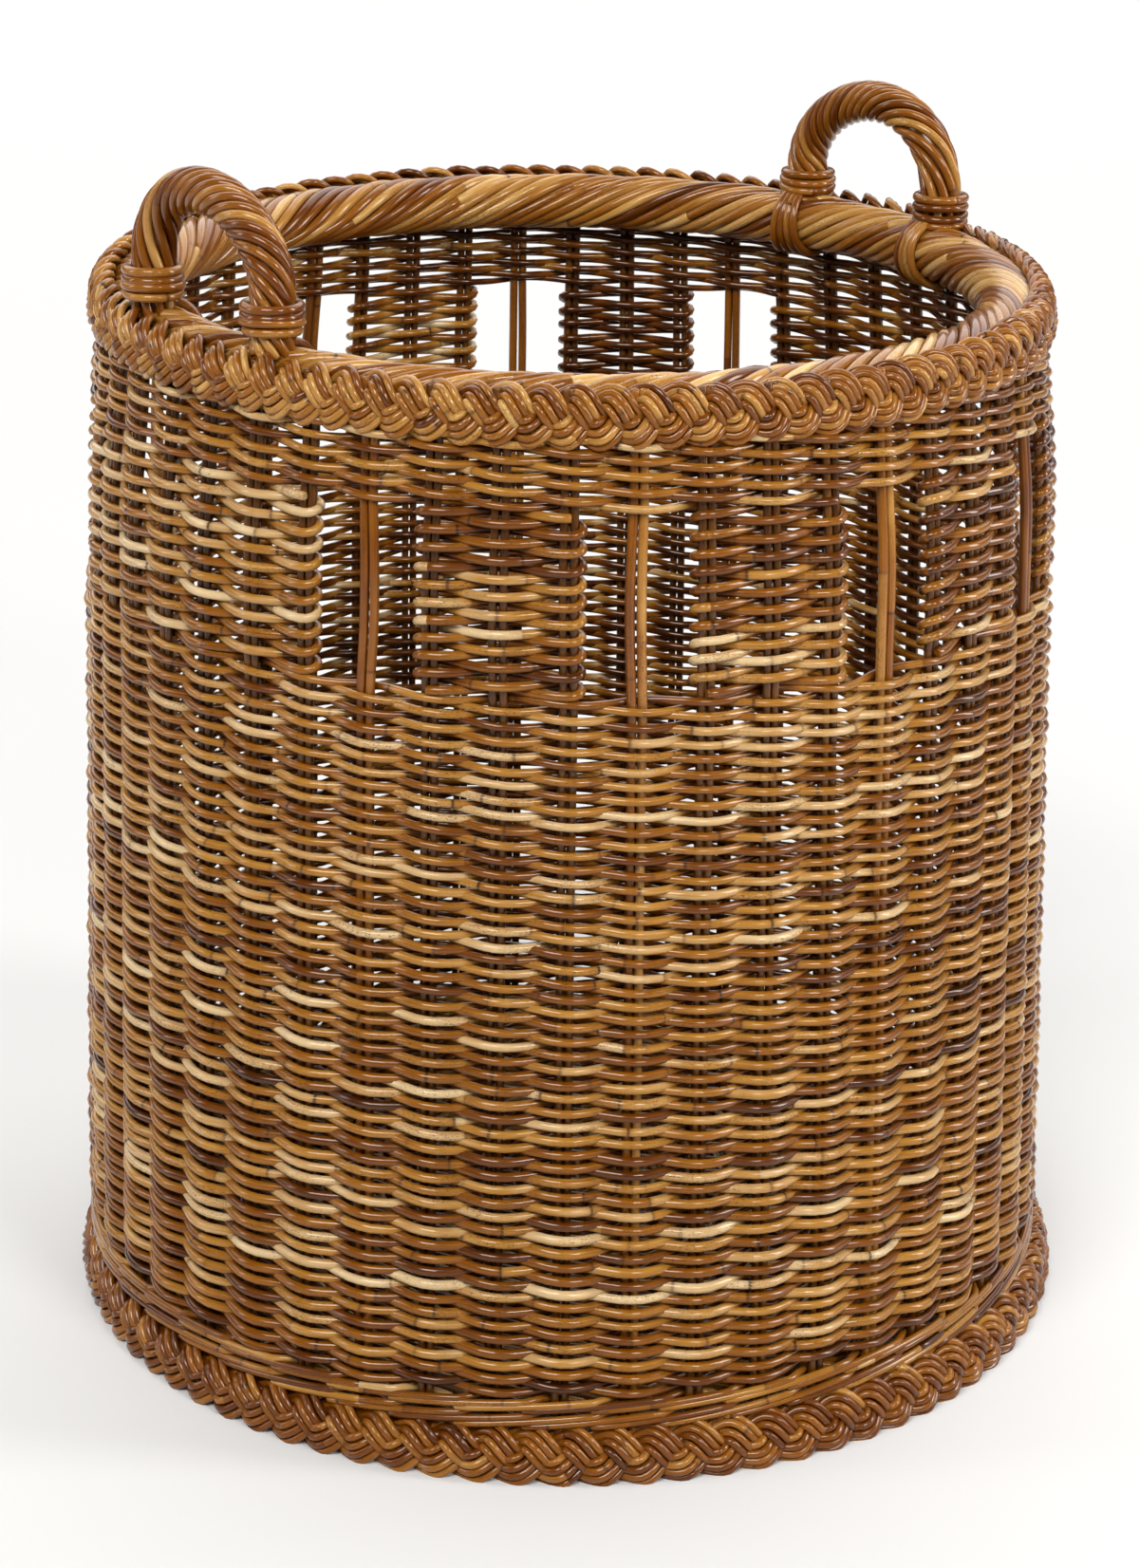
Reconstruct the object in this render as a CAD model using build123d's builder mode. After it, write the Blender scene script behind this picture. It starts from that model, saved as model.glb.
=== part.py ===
"""Round wicker log basket: woven wall with windows, rope rim, plaited borders, two rope handles.

Millimetres, +Z up, the foot stands on Z = 0 and the wall's axis is the Z axis.
Angles are bearings: 0 is the front (-Y) and they grow towards +X.
"""
from build123d import *
from math import atan2, cos, degrees, radians, sin
import os

os.makedirs("parts", exist_ok=True)

# Stakes: pairs of upright canes that everything is woven on
stake_count = 48
stake_step = 360 / stake_count
stake_d = 4.0
stake_pair_gap = 0.2
first_stake_bearing = -22.5
stake_z = (25.0, 498.8)

# The wall draws in towards the rim: radius of the stake ring at two levels
wall_foot_r = 243.5
wall_top_r = 229.5
wall_top_z = 525.0
wall_lean = atan2(wall_foot_r - wall_top_r, wall_top_z)

# Weaving canes and the slots that the stake pairs pass through
siding_cane_d = 3.8
panel_cane_d = 4.2
slot_clearance = 0.25
slot_width = 2 * stake_d + stake_pair_gap + 2 * slot_clearance
slot_depth = stake_d + 2 * slot_clearance
siding_half = stake_d / 2 + siding_cane_d
panel_half = stake_d / 2 + panel_cane_d

# Levels up the wall
foot_z = (0.0, 24.5)
wale_z = (24.8, 40.0)
siding_z = (40.3, 381.0)
panel_z = (381.3, 464.7)
band_z = (465.0, 499.0)
braid_z = (499.5, 531.0)

# Windows: one on every fourth stake, left out below the handles
window_every = 4
window_skips = (20, 44)
panel_overhang = 1.6  # degrees that a panel's turned edge stands past its last stake

# Rim and foot borders
braid_r = (226.6, 238.5)
foot_r = (243.0, 256.0)
border_corner = 5.0
wale_half = 7.5
hoop_r = 211.0
hoop_z = 513.0
hoop_cane_r = 14.5

# Handles: rope arches that stand on the hoop
handle_bearings = {"handle_left": -50.5, "handle_right": 132.0}
handle_rope_r = 10.5
handle_half_span = 47.5
handle_foot_z = hoop_z + hoop_cane_r + 0.3
handle_spring_z = 547.0
handle_rise = 36.5
wrap_z = (531.3, 546.3)
wrap_wall = 4.4
wrap_clearance = 0.3
lashing_cane_r = 2.2
lashing_r = hoop_cane_r + lashing_cane_r + 0.3
lashing_pitch = 5.0
lashing_arc = (140.0, 288.0)

# Base
base_r = 234.3
base_z = (28.2, 38.4)
spoke_count = 24
spoke_d = 4.2
spoke_r = (43.0, 234.6)
spoke_z = 25.8
boss_r = 41.0
boss_z = (23.4, 27.9)


def bearing_point(radius, bearing, z=0.0):
    """The point at a radius from the axis, seen in a bearing's direction."""
    return (radius * sin(radians(bearing)), -radius * cos(radians(bearing)), z)


def wall_r(z):
    """Radius of the stake ring at a level."""
    return wall_foot_r - (wall_foot_r - wall_top_r) * z / wall_top_z


def stake_bearing(index):
    return first_stake_bearing + stake_step * index


def leaning_plane(index, z, side=0.0):
    """A plane square to a leaning stake: local X runs along the wall, local Z up the stake."""
    bearing = stake_bearing(index)
    across = (cos(radians(bearing)), sin(radians(bearing)), 0)
    x, y, _ = bearing_point(wall_r(z), bearing)
    inward = bearing_point(-sin(wall_lean), bearing, cos(wall_lean))
    return Plane(origin=(x + side * across[0], y + side * across[1], z), x_dir=across, z_dir=inward)


def stake_pairs(indices):
    """Both canes of each of the given stake pairs, as upright leaning rods."""
    offset = (stake_d + stake_pair_gap) / 2
    planes = [leaning_plane(k, stake_z[0], side) for k in indices for side in (-offset, offset)]
    length = (stake_z[1] - stake_z[0]) / cos(wall_lean)
    with Locations(*planes):
        Cylinder(stake_d / 2, length, align=(Align.CENTER, Align.CENTER, Align.MIN))


def cut_slots(indices, levels):
    """Slots for the given stake pairs, cut right through the levels."""
    spare = 1.0
    length = levels[1] - levels[0] + 2 * spare
    with Locations(*[leaning_plane(k, levels[0] - spare) for k in indices]):
        Box(
            slot_width,
            slot_depth,
            length,
            align=(Align.CENTER, Align.CENTER, Align.MIN),
            mode=Mode.SUBTRACT,
        )


def wall_profile(half, levels):
    """Leaning section of the wall between two levels, half its thickness each side."""
    low, high = wall_r(levels[0]), wall_r(levels[1])
    Polygon(
        (low - half, levels[0]),
        (low + half, levels[0]),
        (high + half, levels[1]),
        (high - half, levels[1]),
        align=None,
    )


def finish_part(builder, name):
    builder.part.label = name
    export_step(builder.part, f"parts/{name}.step")


def is_window(index):
    index = index % stake_count
    return index % window_every == 0 and index not in window_skips


# Stakes, with the bare ones that cross the windows on their own node
window_stakes = [k for k in range(stake_count) if is_window(k)]
wall_stakes = [k for k in range(stake_count) if not is_window(k)]

with BuildPart() as stakes_wall:
    stake_pairs(wall_stakes)
finish_part(stakes_wall, "stakes_wall")

with BuildPart() as stakes_window:
    stake_pairs(window_stakes)
finish_part(stakes_window, "stakes_window")


# Woven rings that go right round: each has one slot for every stake pair
def woven_ring(name, half, levels):
    with BuildPart() as ring:
        with BuildSketch(Plane.XZ):
            wall_profile(half, levels)
        revolve(axis=Axis.Z)
        cut_slots(range(stake_count), levels)
    finish_part(ring, name)


woven_ring("wale", wale_half, wale_z)
woven_ring("siding", siding_half, siding_z)
woven_ring("band_upper", panel_half, band_z)


# Woven panels between the windows
def woven_panel(name, first, last):
    start = stake_bearing(first) - panel_overhang
    end = stake_bearing(last) + panel_overhang
    # local X is outward at the panel's first edge, local Y is up
    square_to_edge = (-cos(radians(start)), -sin(radians(start)), 0)
    edge = Plane(origin=(0, 0, 0), x_dir=bearing_point(1, start), z_dir=square_to_edge)
    with BuildPart() as panel:
        with BuildSketch(edge):
            wall_profile(panel_half, panel_z)
        revolve(axis=Axis.Z, revolution_arc=end - start)
        cut_slots(range(first, last + 1), panel_z)
    finish_part(panel, name)


for number, window in enumerate(window_stakes):
    next_window = window + window_every
    if not is_window(next_window):
        next_window += window_every
    woven_panel(f"panel_{number + 1:02d}", window + 1, next_window - 1)


# Plaited borders outside the stakes, flat below so that the foot stands level
def border(name, radii, levels):
    with BuildPart() as ring:
        with BuildSketch(Plane.XZ) as profile:
            with Locations(((radii[0] + radii[1]) / 2, (levels[0] + levels[1]) / 2)):
                Rectangle(radii[1] - radii[0], levels[1] - levels[0])
            fillet(profile.vertices(), radius=border_corner)
        revolve(axis=Axis.Z)
    finish_part(ring, name)


border("foot_braid", foot_r, foot_z)
border("rim_braid", braid_r, braid_z)

# Rope hoop inside the rim
with BuildPart() as rim_hoop:
    with BuildSketch(Plane.XZ):
        with Locations((hoop_r, hoop_z)):
            Circle(hoop_cane_r)
    revolve(axis=Axis.Z)
finish_part(rim_hoop, "rim_hoop")


def handle_plane(bearing, along=0.0):
    """A plane square to the radius: local X runs along the rim, local Y is up."""
    across = (cos(radians(bearing)), sin(radians(bearing)), 0)
    x, y, _ = bearing_point(hoop_r, bearing)
    origin = (x + along * across[0], y + along * across[1], 0)
    return Plane(origin=origin, x_dir=across, z_dir=bearing_point(1, bearing))


def handle_arch(name, bearing):
    plane = handle_plane(bearing)
    left_foot = plane.from_local_coords((-handle_half_span, handle_foot_z, 0))
    with BuildPart() as arch:
        with BuildLine(plane):
            Line((-handle_half_span, handle_foot_z), (-handle_half_span, handle_spring_z))
            EllipticalCenterArc((0, handle_spring_z), handle_half_span, handle_rise, arc_size=180)
            Line((handle_half_span, handle_spring_z), (handle_half_span, handle_foot_z))
        with BuildSketch(Plane(origin=left_foot, z_dir=(0, 0, 1))):
            Circle(handle_rope_r)
        sweep()
    finish_part(arch, name)


def handle_wraps(name, bearing):
    inner = handle_rope_r + wrap_clearance
    across = (cos(radians(bearing)), sin(radians(bearing)))
    x, y, _ = bearing_point(hoop_r, bearing)
    places = [(x + s * across[0], y + s * across[1]) for s in (-handle_half_span, handle_half_span)]
    with BuildPart() as wraps:
        with BuildSketch(Plane.XY.offset(wrap_z[0])):
            with Locations(*places):
                Circle(inner + wrap_wall)
                Circle(inner, mode=Mode.SUBTRACT)
        extrude(amount=wrap_z[1] - wrap_z[0])
    finish_part(wraps, name)


def handle_lashings(name, bearing):
    """Canes bent round the inner side of the hoop below each handle foot."""
    with BuildPart() as lashings:
        for foot in (-handle_half_span, handle_half_span):
            for turn in (-1, 0, 1):
                along_deg = degrees((foot + turn * lashing_pitch) / hoop_r)
                own = bearing + along_deg
                x, y, _ = bearing_point(hoop_r, own)
                # local X is outward, local Y is up
                plane = Plane(
                    origin=(x, y, hoop_z),
                    x_dir=bearing_point(1, own),
                    z_dir=(-cos(radians(own)), -sin(radians(own)), 0),
                )
                with BuildLine(plane):
                    bend = CenterArc((0, 0), lashing_r, lashing_arc[0], lashing_arc[1] - lashing_arc[0])
                with BuildSketch(Plane(origin=bend @ 0, z_dir=bend % 0)):
                    Circle(lashing_cane_r)
                sweep(path=bend)
    finish_part(lashings, name)


for handle, handle_bearing in handle_bearings.items():
    handle_arch(handle, handle_bearing)
    handle_wraps(f"{handle}_wraps", handle_bearing)
    handle_lashings(f"{handle}_lashings", handle_bearing)

# Base: a woven disc on radial spokes that meet round a woven boss
with BuildPart() as base_weave:
    with BuildSketch(Plane.XY.offset(base_z[0])):
        Circle(base_r)
    extrude(amount=base_z[1] - base_z[0])
finish_part(base_weave, "base_weave")

with BuildPart() as base_spokes:
    for spoke in range(spoke_count):
        spoke_bearing = spoke * 360 / spoke_count
        start = bearing_point(spoke_r[0], spoke_bearing, spoke_z)
        with BuildSketch(Plane(origin=start, z_dir=bearing_point(1, spoke_bearing))):
            Circle(spoke_d / 2)
        extrude(amount=spoke_r[1] - spoke_r[0])
finish_part(base_spokes, "base_spokes")

with BuildPart() as base_boss:
    with BuildSketch(Plane.XY.offset(boss_z[0])):
        Circle(boss_r)
    extrude(amount=boss_z[1] - boss_z[0])
finish_part(base_boss, "base_boss")
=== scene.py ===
"""Looks for the wicker log basket: every cane of the weave, the plaits, the ropes and the base."""
import math

import bpy
import numpy as np
from mathutils import Matrix, Vector


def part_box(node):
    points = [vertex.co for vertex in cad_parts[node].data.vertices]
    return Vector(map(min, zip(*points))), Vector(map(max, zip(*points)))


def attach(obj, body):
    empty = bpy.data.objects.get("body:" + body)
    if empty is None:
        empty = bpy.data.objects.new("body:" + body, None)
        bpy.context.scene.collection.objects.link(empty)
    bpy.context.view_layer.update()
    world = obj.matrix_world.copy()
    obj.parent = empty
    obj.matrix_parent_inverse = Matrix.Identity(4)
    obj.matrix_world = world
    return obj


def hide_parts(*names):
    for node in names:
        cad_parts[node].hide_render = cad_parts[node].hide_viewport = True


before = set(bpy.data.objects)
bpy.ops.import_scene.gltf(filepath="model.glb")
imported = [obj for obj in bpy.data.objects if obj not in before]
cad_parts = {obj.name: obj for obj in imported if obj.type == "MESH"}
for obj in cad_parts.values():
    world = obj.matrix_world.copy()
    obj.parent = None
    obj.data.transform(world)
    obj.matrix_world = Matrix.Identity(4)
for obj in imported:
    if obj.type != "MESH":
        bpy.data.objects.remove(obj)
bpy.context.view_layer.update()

MM = 0.001
SEED = 542

# ---------------------------------------------------------------- sizes from the frame
STAKES = 48
FIRST_BEARING = math.radians(-22.5)
STEP = 2 * math.pi / STAKES
WINDOW_EVERY = 4
WINDOW_SKIPS = (20, 44)


def levels(node):
    """Lowest and highest Z of a CAD node."""
    low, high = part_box(node)
    return low[2], high[2]


def outer_radius(node):
    """Radius of a round CAD node, from its box."""
    low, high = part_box(node)
    return max(high[0], high[1], -low[0], -low[1])


WALE_Z = levels("wale")
SIDING_Z = levels("siding")
PANEL_Z = levels("panel_01")
BAND_Z = levels("band_upper")
RIM_Z = levels("rim_braid")
FOOT_Z = levels("foot_braid")
HOOP_Z = levels("rim_hoop")
STAKE_Z = levels("stakes_wall")
WRAP_Z = levels("handle_left_wraps")
HANDLE_Z = levels("handle_left")
BASE_Z = levels("base_weave")
RIM_MIDDLE = (RIM_Z[0] + RIM_Z[1]) / 2
FOOT_MIDDLE = (FOOT_Z[0] + FOOT_Z[1]) / 2
WALE_MIDDLE = (WALE_Z[0] + WALE_Z[1]) / 2
BASE_MIDDLE = (BASE_Z[0] + BASE_Z[1]) / 2
RIM_R = outer_radius("rim_braid")
FOOT_R = outer_radius("foot_braid")
SIDING_HALF = 5.8 * MM
BAND_HALF = 6.2 * MM
LOW_RING = outer_radius("siding") - SIDING_HALF
HIGH_RING = outer_radius("band_upper") - BAND_HALF
WALL_SLOPE = (LOW_RING - HIGH_RING) / (BAND_Z[0] - SIDING_Z[0])
HOOP_SECTION = (HOOP_Z[1] - HOOP_Z[0]) / 2
HOOP_RING = outer_radius("rim_hoop") - HOOP_SECTION - 1.5 * MM
HOOP_MIDDLE = (HOOP_Z[0] + HOOP_Z[1]) / 2

# ---------------------------------------------------------------- where the real basket is uneven
# the wall draws in below the rim: by how much, and how far above the panels' foot that starts
DRAWN_IN = 4.5 * MM
DRAWN_FROM = 40 * MM
# the foot isn't quite round the wall's axis: it stands out to the front and right
FOOT_SHIFT = np.array([2.2, -2.2, 0.0]) * MM
# how far the plaited rim and the hoop lie off their CAD level, in mm: all round, front and right
RIM_DIP = (-2.6, -5.8, -1.0)
HOOP_DIP = (-3.0, -4.0, -1.0)

# ---------------------------------------------------------------- the wall's canes (radii) and rows
STAKE_RADIUS = 2.05 * MM
BARE_STAKE = 2.25 * MM
# how far the stakes run past their CAD ends, down into the foot plait and up into the rim plait
STAKE_TAIL = 6 * MM
STAKE_TIP = 18 * MM
SIDING_CANE = 1.85 * MM
SIDING_ROWS = 98
SIDING_PARTS = 4
BAND_CANE = 1.85 * MM
BAND_ROWS = 12
BAND_ABOVE = 6.8 * MM
PANEL_CANE = 2.15 * MM
PANEL_ROWS = 21
WALE_CANE = 1.85 * MM
BAY_SAMPLES = 6
# how far a row rises and falls between stakes, and how much darker a cane is drawn where it passes
# inside, behind a stake: painted shade
ROW_FALL = 0.75 * MM
PAINTED_SHADE_INSIDE = 0.34
# rows of canes are thicker towards the foot: by how much, at which heights
THICK_LEVELS = (0.12, 0.20, 0.34)
THICK_SHARES = (1.23, 1.17, 1.04)

# ---------------------------------------------------------------- plaits, ropes and base
PLAIT_STRANDS = 3
PLAIT_SAMPLES = 26
# radius of the rod in the foot plait's hollow, drawn in the darkest tone as painted shade between the
# strands
FOOT_SHADE_CORE = 3.6 * MM
HOOP_CORE = 10.5 * MM
HANDLE_HALF = 47.5 * MM
HANDLE_ROPE = 10.5 * MM
HANDLE_WHEEL = 10.6 * MM
HANDLE_SPRING_Z = 547 * MM
HANDLE_SUNK = 5 * MM
HANDLE_LEAN = 1.5 * MM
LEG_SAMPLES = 8
WRAP_WHEEL = 11.9 * MM
LASHING_PITCH = 4.5 * MM
LASHING_ARC = (88, 300)
# the base: where its weave starts, and inside which radii it passes 12 and 24 of the 48 sticks
BASE_PITCH = 3.6 * MM
BASE_START = 24 * MM
BASE_FEW = 60 * MM
BASE_MANY = 125 * MM
# where a quarter, the next quarter and the last half of the sticks start
STICK_STARTS = (20 * MM, 58 * MM, 122 * MM)
CROSS_HALF = 23 * MM


def is_window(index):
    """Whether a stake pair crosses a window, and so stands bare between two panels."""
    index = index % STAKES
    return index % WINDOW_EVERY == 0 and index not in WINDOW_SKIPS


def bearing_of(stake):
    return FIRST_BEARING + STEP * stake


def wall_radius(z):
    """Radius of the leaning ring of stakes at a height, drawn in a little more below the rim."""
    above = np.asarray(z) - PANEL_Z[0] - DRAWN_FROM
    near_rim = np.clip(above / (RIM_Z[0] - PANEL_Z[0] - DRAWN_FROM), 0, 1)
    return LOW_RING - WALL_SLOPE * (z - SIDING_Z[0]) - DRAWN_IN * near_rim**2 * (3 - 2 * near_rim)


def on_ring(bearing, radius, z):
    """Points at bearings (0 faces -Y, growing towards +X), radii and heights."""
    bearing, radius, z = np.broadcast_arrays(bearing, radius, z)
    return np.stack([radius * np.sin(bearing), -radius * np.cos(bearing), z], axis=-1)


def unit(vectors):
    return vectors / np.maximum(np.linalg.norm(vectors, axis=-1, keepdims=True), 1e-12)


# ---------------------------------------------------------------- canes as meshes
def cane(path, radius, up, tone, rng):
    """One round cane: its centre line, its radius, a reference direction and its colour tone.

    It runs on a little past both ends, narrowing, so that its cut ends look trimmed.
    """
    path = np.asarray(path, float)
    radius = np.broadcast_to(np.asarray(radius, float), len(path)).copy()
    up = np.broadcast_to(np.asarray(up, float), path.shape)
    past_end, narrowed = 0.35, 0.8
    lead = unit(path[1] - path[0]) * radius[0] * past_end
    tail = unit(path[-1] - path[-2]) * radius[-1] * past_end
    path = np.concatenate([path[:1] - lead, path, path[-1:] + tail])
    up = np.concatenate([up[:1], up, up[-1:]])
    radius = np.concatenate([radius[:1] * narrowed, radius, radius[-1:] * narrowed])
    along = np.concatenate([[0], np.cumsum(np.linalg.norm(np.diff(path, axis=0), axis=1))])
    start_along = rng.uniform(0, 40)
    tone = np.broadcast_to(np.asarray(tone, float), len(path) - 2)
    tone = np.concatenate([tone[:1], tone, tone[-1:]])
    return {
        "path": path, "radius": radius, "up": up, "along": along + start_along,
        "tone": tone, "seed": rng.uniform(0, 1),
    }


def tube(item, cos_a, sin_a):
    """Points in rings along one cane, and each point's place in the cane's own grain."""
    path, radius = item["path"], item["radius"]
    tangent = unit(np.gradient(path, axis=0))
    up = item["up"] - tangent * np.sum(item["up"] * tangent, axis=1, keepdims=True)
    up = unit(up)
    side = np.cross(tangent, up)
    spokes = cos_a[None, :, None] * up[:, None] + sin_a[None, :, None] * side[:, None]
    rings = path[:, None] + radius[:, None, None] * spokes
    mean_radius = radius[len(path) // 2]
    grain = np.empty(rings.shape)
    grain[..., 0] = cos_a * mean_radius
    grain[..., 1] = sin_a * mean_radius
    grain[..., 2] = item["along"][:, None]
    return rings.reshape(-1, 3), grain.reshape(-1, 3)


def mesh_from(name, verts, quads, caps, layers):
    """A mesh of smooth quads and flat caps, with the named layers on its points."""
    mesh = bpy.data.meshes.new(name)
    mesh.vertices.add(len(verts))
    mesh.vertices.foreach_set("co", verts.astype(np.float32).ravel())
    loops = np.concatenate([quads.ravel(), caps.ravel()])
    mesh.loops.add(len(loops))
    mesh.loops.foreach_set("vertex_index", loops.astype(np.int32))
    starts = np.concatenate([
        np.arange(len(quads)) * 4,
        len(quads) * 4 + np.arange(len(caps)) * caps.shape[1],
    ])
    mesh.polygons.add(len(starts))
    mesh.polygons.foreach_set("loop_start", starts.astype(np.int32))
    mesh.update(calc_edges=True)
    smooth = np.ones(len(starts), bool)
    smooth[len(quads):] = False
    mesh.polygons.foreach_set("use_smooth", smooth)
    for label, kind, key, data in layers:
        layer = mesh.attributes.new(label, kind, "POINT")
        layer.data.foreach_set(key, np.concatenate(data).astype(np.float32).ravel())
    return mesh


def cane_piece(name, canes, material, sides=8):
    """One mesh object that holds many canes, each a closed tube with flat cut ends."""
    angle = np.linspace(0, 2 * np.pi, sides, endpoint=False)
    cos_a, sin_a = np.cos(angle), np.sin(angle)
    verts, quads, caps, grain, tone, seed = [], [], [], [], [], []
    base = 0
    for item in canes:
        count = len(item["path"])
        points, place_in_grain = tube(item, cos_a, sin_a)
        index = base + np.arange(count * sides).reshape(count, sides)
        turned = np.roll(index, -1, axis=1)
        quads.append(np.stack([index[:-1], turned[:-1], turned[1:], index[1:]], -1).reshape(-1, 4))
        caps += [index[0][::-1], index[-1]]
        verts.append(points)
        grain.append(place_in_grain)
        tone.append(np.repeat(item["tone"], sides))
        seed.append(np.full(count * sides, item["seed"]))
        base += count * sides
    mesh = mesh_from(name, np.concatenate(verts), np.concatenate(quads), np.stack(caps), (
        ("grain", "FLOAT_VECTOR", "vector", grain),
        ("tone", "FLOAT", "value", tone),
        ("seed", "FLOAT", "value", seed),
    ))
    mesh.materials.append(material)
    piece = bpy.data.objects.new(name, mesh)
    bpy.context.scene.collection.objects.link(piece)
    return piece


def place(piece, slot, *nodes):
    """The piece belongs to the root body and stands for the CAD nodes, which it hides. The slot is
    not used.
    """
    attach(piece, "root")
    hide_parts(*nodes)


# ---------------------------------------------------------------- materials
ROUGHNESS = 0.3
WEAR = 0.3
SPECK_COLOUR = (0.045, 0.016, 0.005, 1)
HALO_COLOUR = (0.14, 0.05, 0.014, 1)
RING_COLOUR = (0.014, 0.005, 0.002, 1)


class Shading:
    """Short ways to add nodes to one material, each giving back the node's output."""

    def __init__(self, material):
        self.tree = material.node_tree

    def put(self, value, socket):
        """Link an output into a socket, or set the socket to a plain value."""
        if isinstance(value, bpy.types.NodeSocket):
            self.tree.links.new(value, socket)
        else:
            socket.default_value = value

    def math(self, kind, *values):
        node = self.tree.nodes.new("ShaderNodeMath")
        node.operation = kind
        for value, socket in zip(values, node.inputs):
            self.put(value, socket)
        return node.outputs[0]

    def attribute(self, label, output):
        node = self.tree.nodes.new("ShaderNodeAttribute")
        node.attribute_name = label
        return node.outputs[output]

    def combine(self, x, y, z=0.0):
        node = self.tree.nodes.new("ShaderNodeCombineXYZ")
        for value, socket in zip((x, y, z), node.inputs):
            self.put(value, socket)
        return node.outputs[0]

    def split(self, vector):
        node = self.tree.nodes.new("ShaderNodeSeparateXYZ")
        self.put(vector, node.inputs[0])
        return node.outputs

    def noise(self, vector, factors, shift, detail, rough=0.5):
        """Noise over a vector that is first stretched by factors and moved by shift."""
        stretch = self.tree.nodes.new("ShaderNodeVectorMath")
        stretch.operation = "MULTIPLY_ADD"
        for value, socket in zip((vector, factors, shift), stretch.inputs):
            self.put(value, socket)
        node = self.tree.nodes.new("ShaderNodeTexNoise")
        self.put(stretch.outputs[0], node.inputs["Vector"])
        self.put(1.0, node.inputs["Scale"])
        self.put(detail, node.inputs["Detail"])
        self.put(rough, node.inputs["Roughness"])
        return node.outputs[0]

    def white(self, x, y):
        """A random value for each x and y."""
        node = self.tree.nodes.new("ShaderNodeTexWhiteNoise")
        node.noise_dimensions = "2D"
        self.put(self.combine(x, y), node.inputs["Vector"])
        return node.outputs["Value"]

    def remap(self, value, low, high, to_low=0.0, to_high=1.0):
        """A smooth step between two values."""
        node = self.tree.nodes.new("ShaderNodeMapRange")
        node.interpolation_type = "SMOOTHSTEP"
        self.put(value, node.inputs["Value"])
        self.put(low, node.inputs["From Min"])
        self.put(high, node.inputs["From Max"])
        self.put(to_low, node.inputs["To Min"])
        self.put(to_high, node.inputs["To Max"])
        return node.outputs[0]

    def mix(self, factor, first, second):
        node = self.tree.nodes.new("ShaderNodeMix")
        node.data_type = "RGBA"
        self.put(factor, node.inputs[0])
        self.put(first, node.inputs[6])
        self.put(second, node.inputs[7])
        return node.outputs[2]

    def ramp(self, value, stops):
        node = self.tree.nodes.new("ShaderNodeValToRGB")
        elements = node.color_ramp.elements
        while len(elements) < len(stops):
            elements.new(0.5)
        for element, (position, colour) in zip(elements, stops):
            element.position = position
            element.color = (*colour, 1.0)
        self.put(value, node.inputs[0])
        return node.outputs[0]


def node_rings(add, along, gap, seed):
    """The nodes of the cane: one ring per gap, at a random place in it.

    Gives the ring, the halo round it, and a random value for each length between two rings.
    """
    steps = add.math("DIVIDE", along, gap)
    whole = add.math("FLOOR", steps)
    jitter = add.math("MULTIPLY_ADD", add.white(whole, seed), 0.6, 0.2)
    offset = add.math("SUBTRACT", add.math("FRACT", steps), jitter)
    distance = add.math("MULTIPLY", add.math("ABSOLUTE", offset), gap)
    pick = add.white(add.math("ADD", whole, 91.5), seed)
    strength = add.math("MULTIPLY_ADD", pick, 0.7, 0.3)
    ring = add.math("MULTIPLY", add.remap(distance, 0.0003, 0.0011, 1.0, 0.0), strength)
    halo = add.math("MULTIPLY", add.remap(distance, 0.0006, 0.0035, 1.0, 0.0), strength)
    internode = add.math("ADD", whole, add.math("GREATER_THAN", offset, 0.0))
    return ring, halo, add.white(add.math("ADD", internode, 17.5), seed)


def cane_material(name, stops, gap=0.085, rings=0.95):
    """Varnished rattan: tone by cane and internode, dark node rings, grain streaks and specks.

    The gap is the distance between node rings and rings is how dark they are.
    """
    material = bpy.data.materials.new(name)
    material.use_nodes = True
    shader = material.node_tree.nodes["Principled BSDF"].inputs
    add = Shading(material)
    grain = add.attribute("grain", "Vector")
    seed = add.math("MULTIPLY", add.attribute("seed", "Fac"), 977.0)
    shift = add.combine(seed, seed, seed)
    ring, halo, internode = node_rings(add, add.split(grain)[2], gap, seed)

    streaks = add.noise(grain, (900.0, 900.0, 22.0), shift, 3.0, 0.6)
    blotches = add.noise(grain, (120.0, 120.0, 38.0), shift, 2.0)
    fine = add.noise(grain, (1700.0, 1700.0, 900.0), shift, 2.0, 0.7)
    patches = add.noise(grain, (70.0, 70.0, 16.0), shift, 1.0)

    value = add.attribute("tone", "Fac")
    for texture, weight in ((internode, 0.34), (streaks, 0.34), (blotches, 0.42)):
        value = add.math("MULTIPLY_ADD", add.math("SUBTRACT", texture, 0.5), weight, value)
    stains = add.math("MULTIPLY", add.remap(fine, 0.53, 0.66), add.remap(patches, 0.46, 0.62))
    colour = add.ramp(value, stops)
    colour = add.mix(add.math("MULTIPLY", stains, 0.85), colour, SPECK_COLOUR)
    colour = add.mix(add.math("MULTIPLY", halo, 0.35), colour, HALO_COLOUR)
    colour = add.mix(add.math("MULTIPLY", ring, rings), colour, RING_COLOUR)
    add.put(colour, shader["Base Color"])

    dull = add.math("MULTIPLY_ADD", streaks, WEAR, ROUGHNESS - WEAR / 2)
    add.put(dull, shader["Roughness"])
    add.put(0.2, shader["Specular IOR Level"])
    add.put((1.0, 0.62, 0.28, 1.0), shader["Specular Tint"])
    add.put(0.55, shader["Coat Weight"])
    add.put(0.13, shader["Coat Roughness"])
    add.put(1.5, shader["IOR"])

    bump = material.node_tree.nodes.new("ShaderNodeBump")
    height = add.math("MULTIPLY_ADD", streaks, 0.6, add.math("MULTIPLY", ring, -0.8))
    add.put(height, bump.inputs["Height"])
    add.put(0.45, bump.inputs["Strength"])
    add.put(0.0004, bump.inputs["Distance"])
    add.put(bump.outputs[0], shader["Normal"])
    return material


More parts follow.
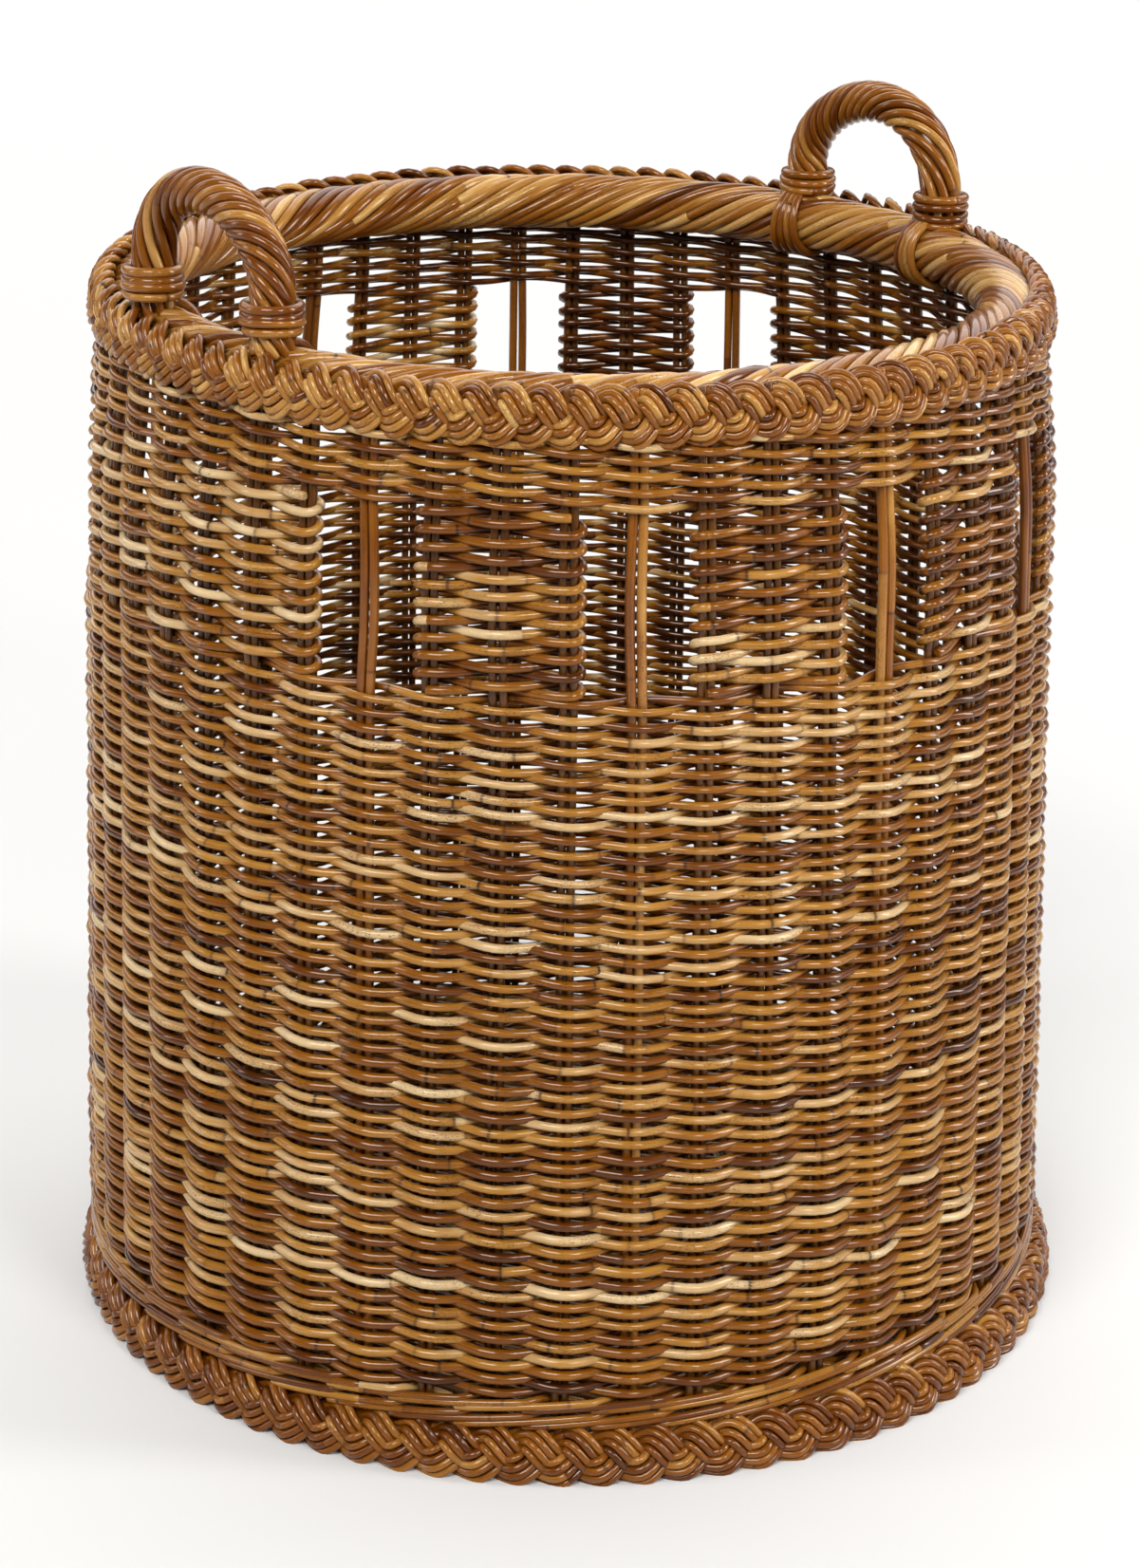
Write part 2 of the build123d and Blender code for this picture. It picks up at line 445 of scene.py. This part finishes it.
# colours of a cane by tone, from its darkest to its palest
HONEY = (
    (0.00, (0.034, 0.0065, 0.0002)),
    (0.25, (0.086, 0.0200, 0.0005)),
    (0.48, (0.172, 0.0530, 0.0018)),
    (0.72, (0.300, 0.1350, 0.0190)),
    (1.00, (0.500, 0.3600, 0.1900)),
)
AMBER = (
    (0.00, (0.040, 0.0075, 0.0003)),
    (0.28, (0.105, 0.0250, 0.0009)),
    (0.52, (0.200, 0.0640, 0.0040)),
    (0.78, (0.370, 0.1850, 0.0420)),
    (1.00, (0.560, 0.3700, 0.1500)),
)
# the wall stakes: their own reddish brown, drawn darker as painted shade, since they show only deep
# in the gaps of the weave
STAKE_WITH_SHADE = (
    (0.00, (0.020, 0.0050, 0.0004)),
    (0.50, (0.082, 0.0250, 0.0022)),
    (1.00, (0.190, 0.0740, 0.0100)),
)
siding_look = cane_material("siding_cane", HONEY)
panel_look = cane_material("panel_cane", HONEY)
wale_look = cane_material("wale_cane", HONEY)
border_look = cane_material("border_cane", AMBER)
foot_look = cane_material("foot_cane", AMBER, rings=0.7)
hoop_look = cane_material("hoop_cane", AMBER, gap=0.16)
handle_look = cane_material("handle_cane", AMBER, gap=0.2)
binding_look = cane_material("binding_cane", AMBER, gap=0.11)
# the wall stakes take the darker ramp: their own colour with painted shade
stake_with_shade_look = cane_material("stake_cane", STAKE_WITH_SHADE, gap=0.2, rings=0.6)
bare_stake_look = cane_material("bare_stake_cane", AMBER, gap=0.1, rings=0.9)
base_look = cane_material("base_cane", HONEY)


# ---------------------------------------------------------------- the weave
def weave_wave(position, parity):
    """+1 outside and -1 inside at alternate stakes: flat on the stakes, straight between them."""
    past = np.abs((np.asarray(position) + parity + 1) % 2 - 1)
    return np.interp(past, [0, 0.1, 0.2, 0.8, 0.9, 1], [1, 0.98, 0.83, -0.83, -0.98, -1])


def weave_fall(position, parity):
    """+1 where a cane comes out between two stakes and -1 where it goes back in."""
    return -np.sin(np.pi * (np.asarray(position) + parity))


def wall_sway(bearing, z):
    """How far rows rise and fall together round the wall."""
    return MM * (
        0.8 * np.sin(3 * bearing + 9 * z)
        + 0.5 * np.sin(7 * bearing + 31 * z + 1.0)
        + 0.35 * np.sin(13 * bearing - 47 * z + 2.0)
    )


def tone_walk(rng, count, start, spread):
    """A tone for each sample that drifts slowly along a cane."""
    apart = 24
    knots = rng.normal(0, spread, count // apart + 3)
    return start + np.interp(np.arange(count) / apart, np.arange(len(knots)), knots)


def ring_rows(rng, z_levels, rows, radius, tone_mean, sway=1.0):
    """Rows of plain weave that go right round, each made of canes that end behind a stake."""
    pitch = (z_levels[1] - z_levels[0]) / rows
    canes = []
    for row in range(rows):
        middle = z_levels[0] + (row + 0.5) * pitch
        parity = row % 2
        # a new cane begins every 18 to 42 stakes, except that the last one closes the round
        first = int(rng.integers(0, STAKES))
        first += (first + parity + 1) % 2
        joints = [first]
        while joints[-1] < first + STAKES:
            joints.append(joints[-1] + 2 * int(rng.integers(9, 22)))
        joints[-1] = first + STAKES
        if len(joints) > 2 and joints[-1] - joints[-2] < 8:
            joints.pop(-2)
        for start, end in zip(joints[:-1], joints[1:]):
            count = (end - start) * BAY_SAMPLES + 1
            position = np.linspace(start, end, count)
            bearing = bearing_of(position)
            size = radius * rng.uniform(0.9, 1.1) * np.interp(middle, THICK_LEVELS, THICK_SHARES)
            reach = STAKE_RADIUS + size
            wobble = rng.normal(0, 0.32, end - start + 3)
            rise = np.interp(position - start, np.arange(len(wobble)), wobble) * MM
            push = rng.normal(0, 0.25, end - start + 3)
            inset = np.interp(position - start, np.arange(len(push)), push) * MM
            wave = weave_wave(position, parity)
            z = middle + rise + sway * wall_sway(bearing, middle)
            z = z + ROW_FALL * weave_fall(position, parity)
            ring = wall_radius(z) + reach * wave + inset
            tone = tone_walk(rng, count, rng.normal(tone_mean, 0.17), 0.07)
            # painted shade: a cane is drawn darker where it passes inside the wall, behind the stakes
            tone = tone - PAINTED_SHADE_INSIDE * np.clip(-wave, 0, 1)
            canes.append(cane(on_ring(bearing, ring, z), size, (0, 0, 1), tone, rng))
    return canes


def panel_canes(rng, first, last, z_levels, rows, radius):
    """One woven panel: canes that go to and fro and turn round the stakes at its two edges."""
    pitch = (z_levels[1] - z_levels[0]) / rows
    reach = STAKE_RADIUS + radius * 0.96
    overhang = (STAKE_RADIUS * 2 + radius * 0.85) / (wall_radius(z_levels[0]) * STEP)
    position, swing, z, cuts = [], [], [], []
    row_samples = (last - first) * BAY_SAMPLES + 1
    turn = np.linspace(0, math.pi, 8)[1:-1]
    jitter = rng.normal(0, 0.35, rows) * MM
    for row in range(rows):
        height = z_levels[0] + (row + 0.5) * pitch + jitter[row]
        line = np.linspace(first, last, row_samples)
        wave = weave_wave(line - first, row % 2)
        if row % 2:
            line, wave = line[::-1], wave[::-1]
        position.append(line)
        swing.append(wave)
        z.append(np.full(row_samples, height))
        if row == rows - 1:
            break
        edge = line[-1]
        outward = 1 if row % 2 == 0 else -1
        position.append(edge + outward * overhang * np.sin(turn))
        swing.append(wave[-1] * np.cos(turn))
        following = z_levels[0] + (row + 1.5) * pitch + jitter[row + 1]
        z.append(height + (following - height) * (1 - np.cos(turn)) / 2)
        cuts.append(len(np.concatenate(position)))
    position, swing, z = (np.concatenate(part) for part in (position, swing, z))
    bearing = bearing_of(position)
    z = z + wall_sway(bearing, z) * np.interp(z, [z_levels[0], z_levels[1]], [0.8, 0.4])
    path = on_ring(bearing, wall_radius(z) + reach * swing, z)
    # the panel is woven from a few canes, one after another: a new one begins at some turns
    chance = 0.22
    ends = [0] + [cut for cut in cuts if rng.uniform() < chance] + [len(path) - 1]
    canes = []
    for start, end in zip(ends[:-1], ends[1:]):
        if end - start < 8:
            continue
        span = slice(start, end + 1)
        tone = tone_walk(rng, end - start + 1, rng.normal(0.50, 0.13), 0.16)
        # painted shade: the cane is drawn darker where it passes inside, behind the stakes
        tone = tone - PAINTED_SHADE_INSIDE * np.clip(-swing[span], 0, 1)
        canes.append(cane(path[span], radius * rng.uniform(0.95, 1.05), (0, 0, 1), tone, rng))
    return canes


def stake_canes(rng, indices, splay, radius):
    """Both canes of each stake pair, a little out of line, and drawn together at the weave."""
    canes = []
    height = np.linspace(STAKE_Z[0] - STAKE_TAIL, STAKE_Z[1] + STAKE_TIP, 40)
    in_window = np.clip((height - PANEL_Z[0]) / (PANEL_Z[1] - PANEL_Z[0]), 0, 1)
    bow = np.sin(np.pi * in_window)
    for index in indices:
        lean = rng.normal(0, 1.0) * MM * splay
        for side in (-1, 1):
            apart = side * (radius * 1.02 + MM * splay * rng.uniform(0.0, 0.45) * bow)
            drift = np.interp(height, np.linspace(*STAKE_Z, 9), rng.normal(0, 0.2, 9)) * MM
            shift = apart + drift + lean * bow
            bearing = bearing_of(index) + shift / wall_radius(height)
            path = on_ring(bearing, wall_radius(height), height)
            outward = on_ring(bearing_of(index), 1.0, 0.0)
            tone = rng.normal(0.44, 0.07)
            canes.append(cane(path, radius, outward, tone, rng))
    return canes


def wale_canes(rng, z_levels, radius, turn):
    """Three canes twined round together: each climbs past two stakes and ducks behind one.

    The turn is the round's number, which sets where its canes begin and how dark they are.
    """
    low, high = z_levels[0] + radius * 0.9, z_levels[1] - radius * 0.9
    canes = []
    for strand in range(3):
        position = np.linspace(0, STAKES, STAKES * BAY_SAMPLES + 1)
        phase = (position + strand + turn + 0.5) % 3
        climb = np.clip(phase / 2.2, 0, 1)
        fall = np.clip((phase - 2.2) / 0.8, 0, 1)
        z = low + (high - low) * (climb - fall)
        front = np.cos(np.pi * np.clip(np.abs(phase - 1) - 0.95, 0, 0.55) / 0.55)
        ring = wall_radius(z) + (STAKE_RADIUS + radius) * front
        bearing = bearing_of(position)
        path = on_ring(bearing, ring, z + 0.5 * wall_sway(bearing, z))
        joints = [0, 5 + 3 * strand + 4 * turn, 20 + 3 * strand + 7 * turn, 41 + strand, STAKES]
        for start, end in zip(joints[:-1], joints[1:]):
            span = slice(start * BAY_SAMPLES, end * BAY_SAMPLES + 1)
            count = (end - start) * BAY_SAMPLES + 1
            tone = tone_walk(rng, count, rng.normal(0.54 - 0.20 * turn, 0.12), 0.10)
            canes.append(cane(path[span], radius, (0, 0, 1), tone, rng))
    return canes


# ---------------------------------------------------------------- plaited borders
def rim_dip(bearing, middle, front, right):
    """How far the rim lies off its level round the basket: it dips towards the front and right."""
    return MM * (middle + front * np.cos(bearing) + right * np.sin(bearing))


def plait_canes(rng, ring, z, turns, swing, depth, tilt, bulge, drop, rods, radius, spacing,
                tone_mean, spread, dip=(0, 0, 0)):
    """A plait laid round the wall, each of its strands a rounded ribbon of a few canes.

    Its section is an arc of radius bulge that swells outwards, tipped inwards at the top by tilt,
    and drop is how far below the middle the strands cross, as a share of the swing.
    """
    samples = turns * PLAIT_SAMPLES
    knot = 12
    bearing = np.linspace(0, 2 * math.pi, samples + 1)
    length = ring * bearing
    period = 2 * math.pi * ring / turns
    canes = []
    for strand in range(PLAIT_STRANDS):
        phase = 2 * math.pi * length / period + 2 * math.pi * strand / PLAIT_STRANDS
        uneven = 1 + 0.05 * np.sin(bearing * 11 + strand) + 0.04 * np.sin(bearing * 29 + 2 * strand)
        level = np.cos(phase)
        across = swing * (level - drop * (1 - level**2)) * uneven
        slope = -swing * np.sin(phase) * (1 + 2 * drop * level) * 2 * math.pi / period
        norm = np.sqrt(1 + slope**2)
        out = depth * np.sin(2 * phase)
        for rod in np.arange(rods) - (rods - 1) / 2:
            jitter = rng.normal(0, 0.22, samples // knot + 2)
            jitter[-1] = jitter[0]
            wander = np.interp(np.arange(samples + 1) / knot, np.arange(len(jitter)), jitter) * MM
            offset = rod * spacing + wander
            turned = (length - offset * slope / norm) / ring
            width = across + offset / norm
            lift = out - abs(rod) * 0.5 * MM
            arc = width / bulge
            outward = (bulge + lift) * np.cos(arc) - bulge
            upward = (bulge + lift) * np.sin(arc)
            from_axis = ring + outward * math.cos(tilt) - upward * math.sin(tilt)
            height = z + outward * math.sin(tilt) + upward * math.cos(tilt) + rim_dip(turned, *dip)
            path = on_ring(turned, from_axis, height)
            facing = on_ring(turned, np.cos(arc + tilt), np.sin(arc + tilt))
            # canes come and go: a new one begins every few periods
            joints = np.sort(rng.choice(np.arange(1, turns), size=7, replace=False)) * PLAIT_SAMPLES
            ends = [0, *joints.tolist(), samples]
            for start, end in zip(ends[:-1], ends[1:]):
                span = slice(start, end + 1)
                count = end - start + 1
                tone = tone_walk(rng, count, rng.normal(tone_mean, spread), 0.07)
                size = radius * rng.uniform(0.93, 1.07)
                canes.append(cane(path[span], size, facing[span], tone, rng))
    return canes


# ---------------------------------------------------------------- ropes
def hoop_level(bearing):
    """Height of the hoop's centre line, which dips with the rim."""
    return HOOP_MIDDLE + rim_dip(bearing, *HOOP_DIP)


def hoop_canes(rng, strands, radius, turns, tone_mean):
    """The rope hoop inside the rim: canes laid round one another."""
    samples = 300
    bearing = np.linspace(0, 2 * math.pi, samples + 1)
    wheel = HOOP_SECTION - radius
    canes = []
    for strand in range(strands):
        wander = 0.05 * np.sin(bearing * 5 + strand * 2.4) + 0.03 * np.sin(bearing * 13 + strand)
        around = 2 * math.pi * strand / strands + turns * bearing + wander
        swell = wheel + 0.35 * MM * np.sin(bearing * 9 + strand * 1.7)
        ring = HOOP_RING + swell * np.cos(around)
        z = hoop_level(bearing) + swell * np.sin(around)
        path = on_ring(bearing, ring, z)
        centre = on_ring(bearing, HOOP_RING, hoop_level(bearing))
        outward = unit(path - centre)
        ends = [0, *sorted(rng.choice(np.arange(30, samples - 30, 15), 3, replace=False)), samples]
        for start, end in zip(ends[:-1], ends[1:]):
            span = slice(start, end + 1)
            tone = tone_walk(rng, end - start + 1, rng.normal(tone_mean, 0.13), 0.09)
            size = radius * rng.uniform(0.92, 1.06)
            canes.append(cane(path[span], size, outward[span], tone, rng))
    return canes


def handle_bearing(node):
    """Bearing of a handle, from the middle of its CAD arch."""
    low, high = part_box(node)
    return math.atan2(low[0] + high[0], -(low[1] + high[1]))


def handle_line(bearing, skew, drop):
    """Centre line of the arch: points, and the side direction square to its plane."""
    across = np.array([math.cos(bearing), math.sin(bearing), 0.0])
    outward = on_ring(bearing, 1.0, 0.0)
    rise = HANDLE_Z[1] - HANDLE_ROPE - HANDLE_SPRING_Z
    foot = HOOP_Z[1] - HANDLE_SUNK
    leg = np.linspace(foot, HANDLE_SPRING_Z, LEG_SAMPLES + 1)[:-1]
    arc = np.linspace(0, math.pi, 49)
    over = skew * np.sin(arc) ** 2 - HANDLE_HALF * np.cos(arc)
    straight = np.full(LEG_SAMPLES, HANDLE_HALF)
    run = np.concatenate([-straight, over, straight])
    crown = HANDLE_SPRING_Z - drop + (rise + 0.6 * drop) * np.sin(arc)
    z = np.concatenate([leg - drop, crown, leg[::-1] - drop])
    lean = HANDLE_LEAN * np.sin(np.linspace(0, math.pi, len(run)))
    path = run[:, None] * across + (HOOP_RING - lean)[:, None] * outward
    path[:, 2] = z
    return path, outward


def handle_canes(rng, bearing, skew, drop, strands=9, radius=2.25 * MM):
    """The rope of a handle: canes laid round a core, with less twist towards its feet."""
    path, outward = handle_line(bearing, skew, drop)
    length = np.concatenate([[0], np.cumsum(np.linalg.norm(np.diff(path, axis=0), axis=1))])
    fine = np.linspace(0, length[-1], 110)
    line = np.stack([np.interp(fine, length, path[:, axis]) for axis in range(3)], -1)
    line[1:-1] = (line[:-2] + line[1:-1] + line[2:]) / 3
    tangent = unit(np.gradient(line, axis=0))
    normal = unit(np.broadcast_to(outward, line.shape) - tangent * (tangent @ outward)[:, None])
    binormal = np.cross(tangent, normal)
    share = fine / fine[-1]
    lay = np.radians(np.interp(share, [0, 0.22, 0.5, 0.75, 1], [12, 22, 44, 42, 32]))
    wheel = HANDLE_WHEEL - radius
    twist = np.concatenate([[0], np.cumsum(np.diff(fine) * np.tan(lay[1:]) / wheel)])
    canes = []
    for strand in range(strands):
        around = 2 * math.pi * strand / strands - twist + 0.05 * np.sin(share * 9 + strand)
        rim = np.cos(around)[:, None] * normal + np.sin(around)[:, None] * binormal
        tone = tone_walk(rng, len(line), rng.normal(0.47, 0.11), 0.06)
        canes.append(cane(line + wheel * rim, radius * rng.uniform(0.95, 1.06), rim, tone, rng))
    core = cane(line, wheel * 0.9, normal, 0.1, rng)
    return canes + [core]


def wrap_canes(rng, bearing, drop, turns=4, radius=2.25 * MM):
    """Horizontal turns of cane that bind each handle foot."""
    across = np.array([math.cos(bearing), math.sin(bearing), 0.0])
    outward = on_ring(bearing, 1.0, 0.0)
    canes = []
    for foot in (-HANDLE_HALF, HANDLE_HALF):
        centre = foot * across + HOOP_RING * outward
        pitch = (WRAP_Z[1] - WRAP_Z[0]) / turns
        for turn in range(turns):
            angle = np.linspace(0, 2 * math.pi, 41) + rng.uniform(2.4, 3.9)
            bulge = 1 + 0.03 * rng.normal()
            wheel = WRAP_WHEEL * bulge + 0.5 * MM * math.sin(math.pi * (turn + 0.5) / turns)
            tip = rng.normal(0, 0.07) + 0.05
            ring = np.cos(angle)[:, None] * across + np.sin(angle)[:, None] * -outward
            path = centre + wheel * ring
            height = WRAP_Z[0] + (turn + 0.42) * pitch - drop
            path[:, 2] = height + wheel * tip * np.cos(angle + 0.7) + rng.normal(0, 0.2) * MM
            tone = tone_walk(rng, 41, rng.normal(0.45, 0.09), 0.05)
            canes.append(cane(path, radius * rng.uniform(0.93, 1.05), (0, 0, 1), tone, rng))
    return canes


def lashing_canes(rng, bearing, radius=2.2 * MM):
    """Canes bent round the hoop below each handle foot."""
    canes = []
    for foot in (-HANDLE_HALF, HANDLE_HALF):
        for turn in (-1.5, -0.5, 0.5, 1.5):
            own = bearing + (foot + turn * LASHING_PITCH) / HOOP_RING
            angle = np.radians(np.linspace(*LASHING_ARC, 30))
            slant = 0.012 * turn * np.linspace(-1, 1, 30)
            wheel = HOOP_SECTION + radius * 0.75
            ring = HOOP_RING + wheel * np.cos(angle)
            z = hoop_level(own) + wheel * np.sin(angle)
            path = on_ring(own + slant, ring, z)
            centre = on_ring(own, HOOP_RING, hoop_level(own))
            tone = tone_walk(rng, 30, rng.normal(0.45, 0.10), 0.05)
            canes.append(cane(path, radius, unit(path - centre), tone, rng))
    return canes


# ---------------------------------------------------------------- base
def base_canes(rng, radius=1.8 * MM):
    """Rings of plain weave over the base's sticks, which are more the further out."""
    rim = outer_radius("base_weave") - 1 * MM
    canes = []
    row = 0
    ring = BASE_START
    while ring < rim:
        sticks = 12 if ring < BASE_FEW else 24 if ring < BASE_MANY else 48
        position = np.linspace(0, sticks, sticks * 4 + 1)
        wave = weave_wave(position, row % 2)
        z = BASE_MIDDLE + (radius + 1.8 * MM) * wave
        bearing = position / sticks * 2 * math.pi
        path = on_ring(bearing, ring + 0.4 * MM * np.sin(bearing * 3 + row), z)
        tone = tone_walk(rng, len(position), rng.normal(0.5, 0.16), 0.08)
        canes.append(cane(path, radius, (0, 0, 1), tone, rng))
        ring += BASE_PITCH
        row += 1
    return canes


def spoke_canes(rng, radius=1.9 * MM):
    """The base's sticks: every fourth starts near the middle, the others further out."""
    rim = outer_radius("base_spokes") + 2 * MM
    canes = []
    for index in range(STAKES):
        start = STICK_STARTS[0 if index % 4 == 0 else 1 if index % 2 == 0 else 2]
        bearing = 2 * math.pi * index / STAKES
        path = on_ring(bearing, np.linspace(start, rim, 12), BASE_MIDDLE)
        canes.append(cane(path, radius, (0, 0, 1), rng.normal(0.45, 0.1), rng))
    return canes


def boss_canes(rng, radius=1.9 * MM):
    """The crossed sticks at the middle of the base."""
    canes = []
    for line in (-2, -1, 0, 1, 2):
        shift = line * radius * 2.1
        span = np.linspace(-CROSS_HALF, CROSS_HALF, 8)
        still = np.full(8, shift)
        lower, upper = np.full(8, BASE_MIDDLE - radius), np.full(8, BASE_MIDDLE + radius)
        canes.append(cane(np.stack([span, still, lower], -1), radius, (0, 0, 1), 0.4, rng))
        canes.append(cane(np.stack([still, span, upper], -1), radius, (0, 0, 1), 0.45, rng))
    return canes


# ---------------------------------------------------------------- make the pieces
def draw(offset):
    """A seeded random generator for one piece."""
    return np.random.default_rng(SEED + offset)


# the siding is made in parts, each but the last with the same even number of rows, so that the
# weave runs on from one to the next
even_rows = SIDING_ROWS // SIDING_PARTS // 2 * 2
row_height = (SIDING_Z[1] - SIDING_Z[0]) / SIDING_ROWS
done = 0
for number in range(SIDING_PARTS):
    rows = even_rows if number < SIDING_PARTS - 1 else SIDING_ROWS - done
    span = (SIDING_Z[0] + done * row_height, SIDING_Z[0] + (done + rows) * row_height)
    canes = ring_rows(draw(number), span, rows, SIDING_CANE, tone_mean=0.53)
    place(cane_piece(f"siding_weave_{number + 1}", canes, siding_look), "siding_cane", "siding")
    done += rows

band_span = (BAND_Z[0], BAND_Z[1] + BAND_ABOVE)
canes = ring_rows(draw(10), band_span, BAND_ROWS, BAND_CANE, tone_mean=0.47, sway=0.5)
place(cane_piece("band_weave", canes, panel_look), "panel_cane", "band_upper")

window_stakes = [k for k in range(STAKES) if is_window(k)]
for number, window in enumerate(window_stakes):
    following = window + WINDOW_EVERY
    if not is_window(following):
        following += WINDOW_EVERY
    canes = panel_canes(draw(20 + number), window + 1, following - 1, PANEL_Z, PANEL_ROWS, PANEL_CANE)
    piece = cane_piece(f"panel_weave_{number + 1:02d}", canes, panel_look)
    place(piece, "panel_cane", f"panel_{number + 1:02d}")

wall_stakes = [k for k in range(STAKES) if not is_window(k)]
canes = stake_canes(draw(40), wall_stakes, 0.3, STAKE_RADIUS)
place(cane_piece("stake_canes_wall", canes, stake_with_shade_look), "stake_cane", "stakes_wall")
canes = stake_canes(draw(41), window_stakes, 1.0, BARE_STAKE)
place(cane_piece("stake_canes_window", canes, bare_stake_look), "stake_cane", "stakes_window")

wale = wale_canes(draw(50), (WALE_MIDDLE - 0.6 * MM, WALE_Z[1]), WALE_CANE, 0)
wale += wale_canes(draw(51), (WALE_Z[0] - 1.5 * MM, WALE_MIDDLE + 0.4 * MM), WALE_CANE, 1)
place(cane_piece("wale_weave", wale, wale_look), "wale_cane", "wale")

foot_plait = plait_canes(
    draw(60), ring=FOOT_R - 6.2 * MM, z=FOOT_MIDDLE + 1.0 * MM, turns=27, swing=8.2 * MM,
    depth=3.4 * MM, tilt=math.radians(20), bulge=22 * MM, drop=0.34, rods=4,
    radius=1.95 * MM, spacing=3.7 * MM, tone_mean=0.37, spread=0.08,
)
round_again = np.linspace(0, 2 * math.pi, 181)
# a rod in the foot plait's hollow, in the darkest tone: painted shade where the hollow shows between
# the strands
foot_line = on_ring(round_again, FOOT_R - 11.5 * MM, FOOT_MIDDLE + 4.0 * MM)
foot_shade_core = cane(foot_line, FOOT_SHADE_CORE, (0, 0, 1), 0.0, draw(62))
for item in foot_plait + [foot_shade_core]:
    item["path"] += FOOT_SHIFT
place(cane_piece("foot_plait", foot_plait + [foot_shade_core], foot_look), "border_cane", "foot_braid")

rim_plait = plait_canes(
    draw(61), ring=RIM_R - 9.4 * MM, z=RIM_MIDDLE, turns=32, swing=8.4 * MM,
    depth=3.4 * MM, tilt=math.radians(13), bulge=20 * MM, drop=0.34, rods=4,
    radius=1.8 * MM, spacing=3.2 * MM, tone_mean=0.50, spread=0.10, dip=RIM_DIP,
)
place(cane_piece("rim_plait", rim_plait, border_look), "border_cane", "rim_braid")

hoop = hoop_canes(draw(70), strands=14, radius=2.75 * MM, turns=9, tone_mean=0.63)
core_line = on_ring(round_again, HOOP_RING, hoop_level(round_again))
hoop_core = cane(core_line, HOOP_CORE, (0, 0, 1), 0.05, draw(71))
place(cane_piece("hoop_rope", hoop + [hoop_core], hoop_look), "hoop_cane", "rim_hoop")

# each handle with how far its crown leans to one side and how far its feet are sunk
HANDLES = (
    ("handle_left", -5 * MM, 4.0 * MM),
    ("handle_right", -3 * MM, 6.5 * MM),
)
for offset, (handle, skew, drop) in enumerate(HANDLES):
    bearing = handle_bearing(handle)
    rope = handle_canes(draw(80 + offset), bearing, skew, drop)
    place(cane_piece(f"{handle}_rope", rope, handle_look, 10), "handle_cane", handle)
    binding = wrap_canes(draw(84 + offset), bearing, drop)
    piece = cane_piece(f"{handle}_binding", binding, binding_look, 10)
    place(piece, "binding_cane", f"{handle}_wraps")
    lashings = lashing_canes(draw(88 + offset), bearing)
    piece = cane_piece(f"{handle}_ties", lashings, binding_look, 10)
    place(piece, "binding_cane", f"{handle}_lashings")

place(cane_piece("base_rows", base_canes(draw(90)), base_look, 6), "base_cane", "base_weave")
place(cane_piece("base_sticks", spoke_canes(draw(91)), base_look), "base_cane", "base_spokes")
place(cane_piece("base_cross", boss_canes(draw(92)), base_look), "base_cane", "base_boss")

# ---------------------------------------------------------------- floor, light and camera
floor_mesh = bpy.data.meshes.new("floor")
far = 40.0
corners = [(-far, -far, 0), (far, -far, 0), (far, far, 0), (-far, far, 0)]
floor_mesh.from_pydata(corners, [], [(0, 1, 2, 3)])
floor = bpy.data.objects.new("floor", floor_mesh)
bpy.context.scene.collection.objects.link(floor)
floor_look = bpy.data.materials.new("floor_paper")
floor_look.use_nodes = True
floor_shader = floor_look.node_tree.nodes["Principled BSDF"]
floor_shader.inputs["Base Color"].default_value = (0.56, 0.555, 0.545, 1)
floor_shader.inputs["Roughness"].default_value = 0.9
floor_mesh.materials.append(floor_look)

bpy.context.scene.view_settings.view_transform = "Standard"
world = bpy.data.worlds.new("studio")
world.use_nodes = True
background = world.node_tree.nodes["Background"]
background.inputs["Color"].default_value = (1, 1, 1, 1)
background.inputs["Strength"].default_value = 0.12
bpy.context.scene.world = world


def soft_box(name, place_at, target, size, power):
    """A rectangular area light, aimed at a point."""
    light = bpy.data.lights.new(name, "AREA")
    light.shape = "RECTANGLE"
    light.size, light.size_y = size
    light.energy = power
    lamp = bpy.data.objects.new(name, light)
    bpy.context.scene.collection.objects.link(lamp)
    aim = Vector(target) - Vector(place_at)
    lamp.location = place_at
    lamp.rotation_euler = aim.to_track_quat("-Z", "Y").to_euler()


# the last two are large: one hangs over the floor beyond the basket, one far behind the camera
soft_box("key", (-0.8, -2.2, 2.7), (0, 0, 0.25), (1.6, 1.2), 100)
soft_box("fill", (1.5, -2.3, 2.0), (0, 0, 0.25), (0.8, 0.5), 46)
soft_box("box_left", (-2.0, -0.4, 1.1), (0, 0, 0.3), (0.4, 1.4), 11)
soft_box("box_right", (2.0, -0.4, 1.1), (0, 0, 0.3), (0.4, 1.4), 32)
soft_box("box_over", (0, 5.2, 3.8), (0, 5.2, 0), (14.0, 8.5), 880)
soft_box("box_behind", (0, -12.0, 4.5), (0, -12.0, 0), (18.0, 12.0), 200)

# the camera stands in front of the basket and looks down on its rim
camera_data = bpy.data.cameras.new("camera")
camera_data.sensor_width = 36.0
camera_data.lens = 82.1
camera = bpy.data.objects.new("camera", camera_data)
bpy.context.scene.collection.objects.link(camera)
camera.location = (0, -1.7116, 0.8859)
pitch, roll, yaw = 0.3529, 0.0115, -0.0008
look = Matrix.Rotation(yaw, 4, "Z") @ Matrix.Rotation(math.pi / 2 - pitch, 4, "X")
look = look @ Matrix.Rotation(roll, 4, "Z")
camera.rotation_euler = look.to_euler()
camera_data.clip_start, camera_data.clip_end = 0.05, 100
bpy.context.scene.camera = camera
